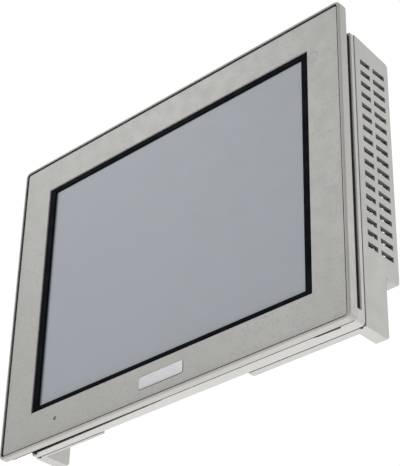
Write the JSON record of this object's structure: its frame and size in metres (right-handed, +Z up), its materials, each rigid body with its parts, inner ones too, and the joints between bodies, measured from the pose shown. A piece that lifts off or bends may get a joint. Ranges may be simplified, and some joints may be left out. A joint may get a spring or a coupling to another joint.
{
  "type": "hmi touch panel",
  "caption": "Panel-mount operator terminal: framed touch screen in a light grey bezel with a gasket, a vented rear housing, a cable bay with ports, and a hinged memory card door.",
  "frame": {"origin": "centre of the cabinet's cut-out, in the plane of the gasket's rear face", "axes": "+X to the right as the operator sees it, +Y towards the back, +Z up"},
  "size_m": [0.2726, 0.0586, 0.2144],
  "materials": {
    "light_plastic": "fine moulded texture",
    "sheet": "fine matt overlay",
    "screen": "anti-glare film over a dark display",
    "black_plastic": "satin black",
    "plate": "satin",
    "lens": "clear grey",
    "sensor": "smooth tinted",
    "glass": "clear",
    "rubber": "matt",
    "white_plastic": "satin",
    "steel": "bright plated",
    "aluminium": "extruded",
    "board": "solder mask",
    "green_plastic": "moulded",
    "yellow_tape": "wound tape"
  },
  "bodies": {
    "housing": {"bezel": "light_plastic", "face_sheet": "sheet", "name_plate": "plate", "status_light": "lens", "sensor_window": "sensor", "display_mask": "black_plastic", "touch_film": "screen", "touch_glass": "glass", "display_seal": "rubber", "display_frame": "steel", "display_glass": "glass", "diffuser_sheet": "white_plastic", "light_guide": "white_plastic", "backlight_lamp_upper": "white_plastic", "backlight_lamp_lower": "white_plastic", "display_tray": "steel", "panel_gasket": "rubber", "chassis": "black_plastic", "mid_frame": "light_plastic", "rear_cover": "light_plastic", "main_board": "board", "power_board": "board", "post_lower_left": "steel", "post_lower_right": "steel", "post_upper_left": "steel", "post_upper_right": "steel", "cover_screw_lower_left": "steel", "cover_screw_lower_right": "steel", "cover_screw_upper_left": "steel", "cover_screw_upper_right": "steel", "heat_sink": "aluminium", "battery_holder": "black_plastic", "battery": "steel", "speaker": "black_plastic", "transformer": "yellow_tape", "capacitor_1": "black_plastic", "capacitor_2": "black_plastic", "serial_port_1": "steel", "serial_port_2": "steel", "serial_post_1_left": "steel", "serial_post_1_right": "steel", "serial_post_2_left": "steel", "serial_post_2_right": "steel", "usb_port_1": "steel", "usb_port_2": "steel", "lan_port": "steel", "power_header": "green_plastic", "card_socket": "black_plastic", "door_pin": "steel"},
    "card_door": {"card_door": "light_plastic"},
    "eject_button": {"eject_button": "black_plastic"},
    "power_plug": {"power_plug": "green_plastic"},
    "terminal_screw_1": {"terminal_screw_1": "steel"},
    "terminal_screw_2": {"terminal_screw_2": "steel"},
    "terminal_screw_3": {"terminal_screw_3": "steel"}
  },
  "joints": [
    {"name": "card_door_hinge", "type": "hinge", "parent": "housing", "child": "card_door", "pos_m": [-0.1274, 0.032, -0.0445], "axis": [0, -1, 0], "range_deg": [0, 105]},
    {"name": "eject_button_slide", "type": "slide", "parent": "housing", "child": "eject_button", "axis": [1, 0, 0], "range_m": [0, 0.004]},
    {"name": "power_plug_slide", "type": "slide", "parent": "housing", "child": "power_plug", "axis": [0, 0, -1], "range_m": [0, 0.012]},
    {"name": "terminal_screw_1_turn", "type": "hinge", "parent": "power_plug", "child": "terminal_screw_1", "pos_m": [0.08192, 0.0429, -0.0723], "axis": [0, 1, 0], "range_deg": [0, 1080]},
    {"name": "terminal_screw_2_turn", "type": "hinge", "parent": "power_plug", "child": "terminal_screw_2", "pos_m": [0.087, 0.0429, -0.0723], "axis": [0, 1, 0], "range_deg": [0, 1080]},
    {"name": "terminal_screw_3_turn", "type": "hinge", "parent": "power_plug", "child": "terminal_screw_3", "pos_m": [0.09208, 0.0429, -0.0723], "axis": [0, 1, 0], "range_deg": [0, 1080]}
  ]
}
